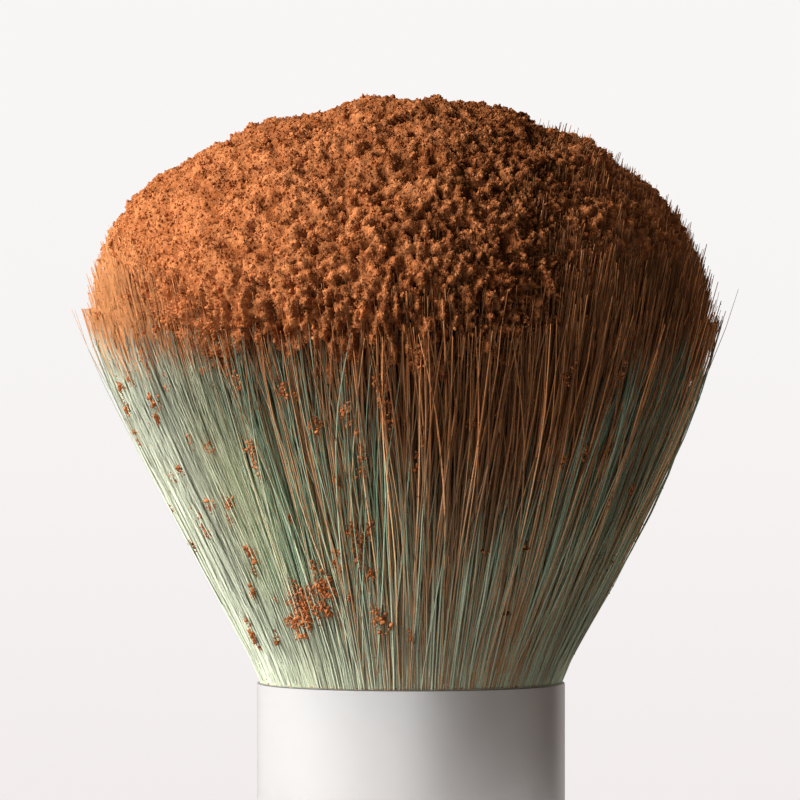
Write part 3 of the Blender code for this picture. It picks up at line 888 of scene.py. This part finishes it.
def swell(x, y, rise):
    """The main lumps, from -1 to 1."""
    total = 0
    for i in range(SWELL_WAVES):
        climb = (i + 0.5) / SWELL_WAVES
        level, turn = math.sqrt(1 - climb * climb), i * GOLDEN_ANGLE
        onwards = x * (level * math.cos(turn)) + y * (level * math.sin(turn)) + rise * climb
        total = (onwards * (2 * math.pi / SWELL_PITCH)).cosine() + total
    return total / SWELL_WAVES


def crust_relief(graph, place, streaked, cosine, outside, rightwards, outer_face):
    """The crust's height, how likely crumbs cling to it, and how deep its pits and hollows are, for the
    finish's painted shade.
    """
    x, y, rise = graph.parts(place)
    right, left = step(rightwards, 0.20, 0.78), step(-rightwards, 0.55, 0.92)
    soft = step(-rightwards, 0.15, 0.80)
    rough = 1.30 - soft * 0.50
    wander = (graph.noise(streaked, WANDER_SIZE) - 0.5) * WANDER_HEIGHT
    streaks = (graph.noise(streaked, STREAK_SIZE) - 0.5) * STREAK_HEIGHT
    edge = EDGE_RISE + right * EDGE_RIGHT + left * EDGE_LEFT
    cover = step(rise + wander + streaks - edge, -EDGE_SOFT, EDGE_SOFT)

    fade = ((rise - WIDEST_RISE) / (SWELL_FADE * DOME_HEIGHT)).at_least(0).at_most(1)
    lumps = swell(x, y, rise) * SWELL_HEIGHT * fade
    lumps = lumps + (graph.noise(place, LUMP_SIZE, 3.0) - 0.5) * LUMP_HEIGHT
    crumbs = (0.45 - graph.cells(place, CRUMB_SIZE)) * CRUMB_HEIGHT * rough
    grit = (0.45 - graph.cells(place, GRIT_SIZE)) * GRIT_HEIGHT * rough
    pit = step(graph.noise(place, PIT_SIZE, 3.0, 0.65), 0.46, 0.36) * (1 - soft * 0.65)
    cavity = step(crumbs + grit, CAVITY_START, CAVITY_FULL) * (0.75 - soft * 0.50)
    beside = step(cosine.size(), 0.40, 0.90)
    ribbed = step(outside + beside * 0.06, 0.67, 0.80)
    rib = graph.noise(streaked, RIB_SIZE, 1.0)

    height = (lumps + crumbs * (1 - ribbed * 0.5) + grit) * (0.35 + cover * 0.65)
    height = height + (rib - 0.5) * RIB_HEIGHT * ribbed - pit * PIT_DEPTH * cover
    sunk = POWDER_SINK + ribbed * (RIB_SINK + left * RIB_SINK_LEFT)
    sunk = sunk + right * (RIGHT_SINK + ribbed * RIB_SINK_RIGHT)
    height = height - sunk - (1 - cover) * BARE_SINK
    cling = cover * outer_face * (1 - pit * 0.9) * (1 - right * 0.6 - ribbed * 0.2)
    return height, cling, pit.at_least(cavity).at_least(step(rib, 0.46, 0.34) * ribbed)


# %% [markdown]
# The height moves each point along the dome's own normal. `pit` lets the finish paint shade into the
# hollows, and `cling` keeps later crumbs off the pits and off the fibres.

# %% The crust tree
def crust_tree():
    graph = Growth("powder_crust", Side=int, Finish=bpy.types.Material)
    side = graph.given["Side"]
    grid = graph.shape("MeshGrid", Size_X=2.0, Size_Y=2.0, Vertices_X=side, Vertices_Y=side)
    reach, turn = disc_place(graph)
    grid = graph.remember(grid, reach=reach.at_most(1), turn=turn)
    reach, turn = graph.remembered("reach"), graph.remembered("turn")

    outside = (reach / OUTSIDE_SHARE).at_most(1)
    inside = (reach - OUTSIDE_SHARE).at_least(0) / (1 - OUTSIDE_SHARE)
    angle = (outside / DOME_SHARE).at_most(1) * (math.pi / 2)
    down = (outside - DOME_SHARE).at_least(0) / (1 - DOME_SHARE)
    rise = angle.cosine() * DOME_HEIGHT + WIDEST_RISE - down * SKIRT_DROP
    skirt = bundle_radius((rise / WIDEST_RISE).at_most(1)) + (HEAD_RADIUS - FIBRE_RADIUS) * (1 - down)
    radius = graph.blend(step(down, 0.0, 0.02), angle.sine() * HEAD_RADIUS, skirt)
    place = graph.around(turn, radius, rise)
    streaked = graph.around(turn, radius, rise * STREAK_STRETCH)
    cosine, outer_face = turn.cosine(), 1 - step(inside, 0.0, 0.01)
    rightwards = cosine * radius / HEAD_RADIUS
    height, cling, pit = crust_relief(graph, place, streaked, cosine, outside, rightwards, outer_face)

    upwards = angle.cosine() / DOME_HEIGHT - step(down, 0.0, 0.3) * (0.4 / HEAD_RADIUS)
    normal = graph.move("NORMALIZE", graph.around(turn, angle.sine() / HEAD_RADIUS, upwards))
    outer = graph.move("ADD", place, graph.move("SCALE", normal, height))
    ends = {"Factor_Float": inside, "A_Vector": outer, "B_Vector": (0, 0, WIDEST_RISE)}
    closing = graph.node("ShaderNodeMix", {"data_type": "VECTOR"}, ends, "Result_Vector")
    closing = graph.move("ADD", closing, graph.vector(sway(rise), 0, RIM_Z))
    mesh = graph.shape("SetPosition", Geometry=grid, Position=closing)
    mesh = graph.remember(mesh, cling=cling, tone=graph.noise(place, TONE_SIZE), pit=pit)
    across, along = (outside * part * 0.49 + 0.5 for part in (cosine, turn.sine()))
    mesh = graph.unwrap(mesh, across, along)
    return graph.end(graph.shape("MergeByDistance", Geometry=mesh, Distance=CRUST_WELD))


# %% [markdown]
# The powder's finish is dry and rough with no gloss. Its colour wanders between a brighter orange and a
# darker brown over millimetres, and from crumb to crumb. Crevices, pits and hollows are painted
# nearly black-brown as shade, most of all in the middle of the head, and a fine bump adds the dust that
# no mesh can hold.

# %% Powder finish
POWDER_LIGHT, POWDER_DARK = (0.82, 0.305, 0.111), (0.38, 0.105, 0.030)
CREVICE_SHADE_BROWN = (0.07, 0.018, 0.005)
CLOUD_SIZE, FLECK_SIZE, CREVICE_SIZE = 2.4 * MM, 0.30 * MM, 0.55 * MM
DUST_SIZE, DUST_CELL, DUST_DEPTH = 0.14 * MM, 0.20 * MM, 0.13 * MM


def powder_finish():
    finish = Finish("loose_powder", Roughness=1.0, Specular_IOR_Level=0.1)
    place, x = finish.place, finish.parts(finish.place)[0]
    cloud, fleck = finish.noise(place, CLOUD_SIZE, 3.0), finish.noise(place, FLECK_SIZE)
    share = step(cloud * 0.40 + fleck * 0.35 + finish.attribute("tone") * 0.25, 0.34, 0.66)
    colour = finish.tint(share, POWDER_DARK, POWDER_LIGHT)
    # Painted shade: crevices and the crust's pits and hollows are darkened to nearly black-brown, most in
    # the middle of the head.
    shaded_middle = step(x, -5 * MM, 8 * MM) * (1 - step(x, 10 * MM, 18 * MM) * 0.8)
    crevice = step(finish.noise(place, CREVICE_SIZE, 3.0, 0.6), 0.50, 0.40) * (0.15 + shaded_middle * 0.75)
    for hollow in (crevice, finish.attribute("pit") * (0.72 + shaded_middle * 0.26)):
        colour = finish.tint(hollow, colour, CREVICE_SHADE_BROWN)
    finish.put("Base Color", colour)
    dust = finish.noise(place, DUST_SIZE, 3.0, 0.65) - finish.cells(place, DUST_CELL) * 0.6
    finish.bump(dust * (0.8 + shaded_middle * 0.9), 1.0, DUST_DEPTH)
    return finish.material


powder = powder_finish()
crust = crust_tree().grow("powder_crust", Side=316, Finish=powder)
seat(crust, "powder", "powder_load")

# %% [markdown]
# Crumbs lie on the crust and hang on the strands. The grain tree scatters points over a mesh, denser
# where the mesh's `cling` attribute is high, and puts a small lump of eight or sixteen faces on each,
# turned and stretched at random. In the UV map each grain has a small square of its own, in as many rows
# and columns as there are grains to place.

# %% The grain trees
SQUARE_MM = MM * MM


def grains_on(graph, points, size, seed, rings):
    """Puts a lump on every point and ends the tree."""
    index = graph.shape("InputIndex")
    points = graph.remember(points, "INT", grain=index)
    total = graph.node("GeometryNodeAttributeDomainSize", {"component": "POINTCLOUD"}, {"Geometry": points})
    cells = graph.maths("CEIL", total.root())
    lump = graph.shape("MeshUVSphere", Radius=1.0, Segments=4, Rings=rings)
    lump = graph.remember(lump, "FLOAT_VECTOR", local=graph.shape("InputPosition"))
    turns = graph.vector(*(graph.spin(seed + i, 0, 2 * math.pi, index) for i in range(3)))
    turns = graph.node("FunctionNodeEulerToRotation", None, {"Euler": turns})
    big = graph.spin(seed + 3, 0, 1, index) ** 2 * 0.75 + 0.45
    scale = graph.vector(*(graph.spin(seed + i, 0.7, 1.25, index) * big * size for i in (4, 5, 6)))
    made = graph.shape("InstanceOnPoints", Points=points, Instance=lump, Rotation=turns, Scale=scale)
    made = graph.shape("RealizeInstances", Geometry=made)
    grain = graph.remembered("grain", "INT")
    made = graph.remember(made, tone=graph.spin(seed + 7, 0, 1, grain))
    x, y, z = graph.parts(graph.remembered("local", "FLOAT_VECTOR"))
    across = (graph.maths("MODULO", grain, cells) + 0.5 + (x + z * 0.3) * 0.35) / cells
    down = ((grain / cells).floor() + 0.5 + (y + z * 0.2) * 0.35) / cells
    return graph.end(graph.unwrap(made, across, down))


def scatter_tree():
    """Grains at random places on a mesh."""
    graph = Growth(
        "scattered_grains", Density=float, Size=float, Lift=float, Seed=int, Rings=int,
        Finish=bpy.types.Material,
    )
    given, mesh = graph.given, graph.source
    density = given["Density"] * graph.remembered("cling")
    points = graph.shape("DistributePointsOnFaces", Mesh=mesh, Density=density, Seed=given["Seed"])
    lift = graph.move("SCALE", points.other("Normal"), given["Lift"])
    points = graph.shape("SetPosition", Geometry=points, Offset=lift)
    return grains_on(graph, points, given["Size"], given["Seed"], given["Rings"])


scattered = scatter_tree()


def grains(name, base, seed, density, size, lift, rings=2):
    """Scatters grains over a copy of a mesh, with their number per square millimetre."""
    made = scattered.grow(
        name, base=base.data.copy(), Density=density / SQUARE_MM, Size=size * MM, Lift=lift * MM,
        Seed=seed, Rings=rings, Finish=powder,
    )
    seat(made, "powder")


grains("powder_lumps", crust, seed=11, density=2.4, size=0.19, lift=0.02, rings=3)
grains("powder_grains", crust, seed=12, density=4.2, size=0.14, lift=0.04)
grains("powder_grit", crust, seed=13, density=3.9, size=0.10, lift=0.06)
grains("powder_on_fibres", fibres_near, seed=14, density=2.9, size=0.06, lift=0.02)
grains("powder_on_loose", fibres_loose, seed=15, density=7.0, size=0.06, lift=0.02)

# %% [markdown]
# Some crumbs have fallen further and hang in clusters between the fibres, and a little dust lies in the
# crevice where the fibres enter the ferrule. The clusters on the photographed side are placed one by one,
# each by its pixel, its spread and its number of grains. The pixel's column gives x, its row the rise,
# and the fibre surface there gives y. A random scatter covers the other sides.

# %% Fallen crumbs
CRUMB_SPOTS = [
    (322, 588, 1.1, 130), (302, 612, 1.0, 90), (312, 600, 0.8, 70), (383, 608, 0.6, 34), (258, 551, 0.6, 36),
    (260, 592, 0.45, 18), (260, 634, 0.5, 24), (280, 632, 0.3, 8), (238, 503, 0.6, 34), (219, 502, 0.35, 12),
    (212, 527, 0.5, 18), (267, 467, 0.5, 26), (258, 443, 0.5, 24), (217, 443, 0.35, 10), (167, 418, 0.3, 12),
    (131, 423, 0.4, 12), (154, 354, 0.5, 16), (138, 374, 0.5, 12), (158, 392, 0.4, 10), (188, 470, 0.3, 7),
    (367, 460, 0.5, 28), (351, 413, 0.6, 36), (363, 533, 1.1, 60), (350, 552, 0.8, 30), (375, 510, 0.7, 26),
    (417, 353, 0.6, 34), (384, 404, 0.7, 40), (468, 418, 0.35, 14), (558, 374, 0.4, 12), (610, 373, 0.4, 12),
    (423, 430, 0.5, 18), (413, 457, 0.5, 18), (577, 447, 0.35, 10), (247, 378, 0.5, 22), (292, 384, 0.6, 26),
    (410, 633, 0.35, 8), (320, 420, 0.6, 20), (198, 432, 0.25, 6), (340, 478, 0.5, 18), (297, 512, 0.3, 8),
    (176, 508, 0.2, 4), (520, 545, 0.3, 6), (600, 500, 0.3, 6), (500, 605, 0.25, 5), (634, 536, 0.4, 12),
    (660, 474, 0.4, 10), (648, 500, 0.3, 8), (606, 590, 0.3, 8), (302, 596, 0.9, 90), (330, 584, 0.6, 50),
]
SPOT_GRAINS, STREWN_CLUSTERS, STREWN_GRAINS, RIM_GRAINS = 3, 60, 30, 520
CRUMB_SIZES, RIM_GRAIN_SIZES = (0.08 * MM, 0.21 * MM), (0.05 * MM, 0.12 * MM)
CLUMP_SPREAD, CLUMP_GRAINS, LOOSE_SHARE = 0.22 * MM, 14, 1.012
LEAST_RISE, RIM_FRONT_SHARE = 0.3 * MM, 0.6


def crumb_cluster(luck, turn, rise, spread, count):
    """Grains in a few tight clumps round one place on the fibre surface, drawn out along the strands."""
    made = []
    clumps = [(luck.gauss(0, spread), luck.gauss(0, spread * 0.6)) for _ in range(1 + count // CLUMP_GRAINS)]
    for _ in range(count):
        along, aside = luck.choice(clumps)
        there = max(LEAST_RISE, rise + along + luck.gauss(0, CLUMP_SPREAD))
        radius = radius_at(there) * LOOSE_SHARE + luck.uniform(0.0, 0.40) * MM
        angle = turn + (aside + luck.gauss(0, CLUMP_SPREAD * 0.6)) / radius
        place = (sway(there) + radius * math.cos(angle), radius * math.sin(angle), RIM_Z + there)
        made.append((place, luck.uniform(*CRUMB_SIZES) * luck.uniform(0.6, 1.0)))
    return made


def fallen_crumbs():
    """All crumbs and rim dust as places and sizes."""
    luck = random.Random(41)
    made = []
    for across, down, spread, count in CRUMB_SPOTS:
        rise = (RIM_PIXEL - down) / pixels_per_metre
        x = (across - axis_pixel) / pixels_per_metre - sway(rise)
        turn = -math.acos(max(-1.0, min(1.0, x / radius_at(rise))))
        made += crumb_cluster(luck, turn, rise, spread * MM, count * SPOT_GRAINS)
    for _ in range(STREWN_CLUSTERS):
        turn = luck.uniform(0, 2 * math.pi)
        rise = WIDEST_RISE * luck.uniform(0.12, 1.0) ** 0.6
        made += crumb_cluster(luck, turn, rise, luck.uniform(0.15, 0.7) * MM, luck.randint(4, STREWN_GRAINS))
    for _ in range(RIM_GRAINS):
        in_front = luck.random() < RIM_FRONT_SHARE
        turn = luck.gauss(-math.pi / 2, 0.75) if in_front else luck.uniform(0, 2 * math.pi)
        radius = BORE_RADIUS + luck.uniform(-0.05, 0.20) * MM
        size = luck.uniform(*RIM_GRAIN_SIZES)
        made.append(((radius * math.cos(turn), radius * math.sin(turn), RIM_Z + size * 0.4), size))
    return made


def crumb_tree():
    """A lump at each vertex, as big as its size attribute says."""
    graph = Growth("fallen_crumbs", Finish=bpy.types.Material)
    points = graph.shape("MeshToPoints", Mesh=graph.source)
    return grains_on(graph, points, graph.remembered("size"), 51, 3)


places, sizes = zip(*fallen_crumbs())
crumb_places = bpy.data.meshes.new("crumb_places")
crumb_places.from_pydata(places, [], [])
crumb_places.attributes.new("size", "FLOAT", "POINT").data.foreach_set("value", sizes)
crumbs = crumb_tree().grow("powder_crumbs", base=crumb_places, Finish=powder)
seat(crumbs, "powder")

# %% [markdown]
# ## Ferrule
#
# The ferrule is drawn from thin aluminium tube and cut square. A drawn tube is a turned shape, so its
# wall's outline is spun round the axis: down the outside, through the two rolled grooves that lock it to
# the handle, round the lower edge and up the inside.

# %% Ferrule
RIM_ROUNDING = 0.16 * MM
CRIMP_RISES = (3.4 * MM, 6.6 * MM)
CRIMP_WIDTH, CRIMP_DEPTH, CRIMP_POINTS = 1.6 * MM, 0.35 * MM, 12
METAL_DARK, METAL_LIGHT = (0.84, 0.82, 0.81), (0.90, 0.885, 0.88)


def crimped(radius):
    """Points down a wall, with a rounded groove at each crimp."""
    points = []
    for crimp in sorted(CRIMP_RISES, reverse=True):
        for i in range(CRIMP_POINTS + 1):
            share = i / CRIMP_POINTS
            depth = CRIMP_DEPTH * (1 - math.cos(2 * math.pi * share)) / 2
            points.append((radius - depth, ferrule_low.z + crimp + CRIMP_WIDTH * (0.5 - share)))
    return points


def ferrule_profile():
    rim_centre = (FERRULE_RADIUS - RIM_ROUNDING, RIM_Z - RIM_ROUNDING)
    rim = arc(rim_centre, (RIM_ROUNDING, RIM_ROUNDING), 90, 0, 6)
    foot = [(FERRULE_RADIUS, ferrule_low.z), (BORE_RADIUS, ferrule_low.z)]
    lip = [(BORE_RADIUS, RIM_Z - RIM_ROUNDING), (BORE_RADIUS + RIM_ROUNDING, RIM_Z)]
    return [*rim, *crimped(FERRULE_RADIUS), *foot, *reversed(crimped(BORE_RADIUS)), *lip]


def metal_finish():
    finish = Finish("satin_aluminium", Metallic=1.0)
    x, y, z = finish.parts(finish.place)
    rings = finish.noise(finish.vector(x * 0.02, y * 0.02, z), 0.05 * MM)
    cloud = finish.noise(finish.place, 4 * MM, 3.0)
    finish.put("Base Color", finish.tint(cloud, METAL_DARK, METAL_LIGHT))
    finish.put("Roughness", 0.26 + rings * 0.07 + cloud * 0.05)
    finish.bump(rings, 0.12, 0.01 * MM)
    return finish.material


ferrule = turned("ferrule_tube", ferrule_profile(), steps=256, closed=True)
ferrule.data.materials.append(metal_finish())
seat(ferrule, "ferrule_metal", "ferrule")

# %% [markdown]
# ## Handle and foot
#
# The handle is turned wood under white lacquer: a short waisted body on a broad foot, with a tenon inside
# the ferrule. Lacquer fills the grain, so only a soft unevenness is left in its gloss.

# %% Handle
handle_low, handle_high = corners("handle")
pad_high = corners("foot_pad")[1]
SHOULDER_Z = ferrule_low.z - SEAT_GAP
WAIST_RADIUS, WAIST_RISE = 11.6 * MM, 13.8 * MM
FOOT_EDGE, SHOULDER_EDGE = 1.6 * MM, 0.4 * MM
TENON_RADIUS, TENON_CHAMFER = BORE_RADIUS - SEAT_GAP, 0.8 * MM
PLUG_BORE, PLUG_BORE_TOP = 7.8 * MM, 17.3 * MM
LACQUER_DARK, LACQUER_LIGHT = (0.66, 0.652, 0.635), (0.70, 0.695, 0.68)


def eased_wall(start, end, count):
    """Points from one (radius, height) down to another, on a curve that is upright at both ends."""
    points = []
    for share in (i / count for i in range(count + 1)):
        radius = start[0] + (end[0] - start[0]) * (1 - math.cos(math.pi * share)) / 2
        points.append((radius, start[1] + (end[1] - start[1]) * share))
    return points


def handle_profile():
    """From the tenon's top down the outside to the pad's recess and the bore of the weight."""
    foot_radius, top = handle_high.x, handle_high.z
    waist = (WAIST_RADIUS, handle_low.z + WAIST_RISE)
    edge_z = handle_low.z + FOOT_EDGE
    recess, recess_z = pad_high.x + SEAT_GAP, pad_high.z + SEAT_GAP
    return [
        (0, top), (TENON_RADIUS - TENON_CHAMFER, top), (TENON_RADIUS, top - TENON_CHAMFER),
        *crimped(TENON_RADIUS), (TENON_RADIUS, SHOULDER_Z), (FERRULE_RADIUS - SHOULDER_EDGE, SHOULDER_Z),
        *eased_wall((FERRULE_RADIUS, SHOULDER_Z - SHOULDER_EDGE), waist, 24),
        *eased_wall(waist, (foot_radius, edge_z), 32)[1:],
        *arc((foot_radius - FOOT_EDGE, edge_z), (FOOT_EDGE, FOOT_EDGE), 0, -90, 10)[1:],
        (recess, handle_low.z), (recess, recess_z), (PLUG_BORE, recess_z),
        (PLUG_BORE, PLUG_BORE_TOP), (0, PLUG_BORE_TOP),
    ]


def lacquer_finish():
    finish = Finish("white_lacquer", Coat_Weight=0.6, Coat_Roughness=0.08)
    cloud = finish.noise(finish.place, 6 * MM, 3.0)
    finish.put("Base Color", finish.tint(cloud, LACQUER_DARK, LACQUER_LIGHT))
    finish.put("Roughness", 0.22 + cloud * 0.12)
    finish.bump(finish.noise(finish.place, 0.9 * MM), 0.10, 0.03 * MM)
    return finish.material


handle = turned("handle_body", handle_profile(), steps=256)
handle.data.materials.append(lacquer_finish())
seat(handle, "handle_lacquer", "handle")

# %% [markdown]
# The foot pad and the pieces inside the handle keep their shapes from the frame. They get finishes of
# their own: grained soft foam, plated steel, moulded plastic, amber epoxy and twisted thread.

# %% Finishes of the small pieces
GRAIN_STRENGTH, GRAIN_DEPTH = 0.4, 0.02 * MM


def dress(node, name, dark, light, size, roughness, metallic=0.0):
    """A plain material with grain of one size in its colour, its roughness and its surface."""
    finish = Finish(name, Metallic=metallic)
    grain = finish.noise(finish.place, size, 3.0)
    finish.put("Base Color", finish.tint(step(grain, 0.3, 0.7), dark, light))
    finish.put("Roughness", roughness - 0.06 + grain * 0.12)
    finish.bump(grain, GRAIN_STRENGTH, GRAIN_DEPTH)
    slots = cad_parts[node].data.materials
    slots.clear()
    slots.append(finish.material)
    print(f"{node}: {name}")


dress("foot_pad", "foam_pad", (0.03, 0.03, 0.03), (0.06, 0.06, 0.06), 0.25 * MM, 0.9)
dress("base_plug", "moulded_plastic", (0.09, 0.09, 0.09), (0.13, 0.13, 0.13), 0.5 * MM, 0.5)
dress("weight_slug", "plated_steel", (0.5, 0.5, 0.5), (0.62, 0.61, 0.6), 0.8 * MM, 0.35, metallic=1.0)
dress("epoxy_plug", "cured_epoxy", (0.45, 0.30, 0.12), (0.62, 0.46, 0.24), 2.5 * MM, 0.2)
dress("binding_thread", "cotton_thread", (0.62, 0.58, 0.5), (0.85, 0.82, 0.74), 0.15 * MM, 0.9)
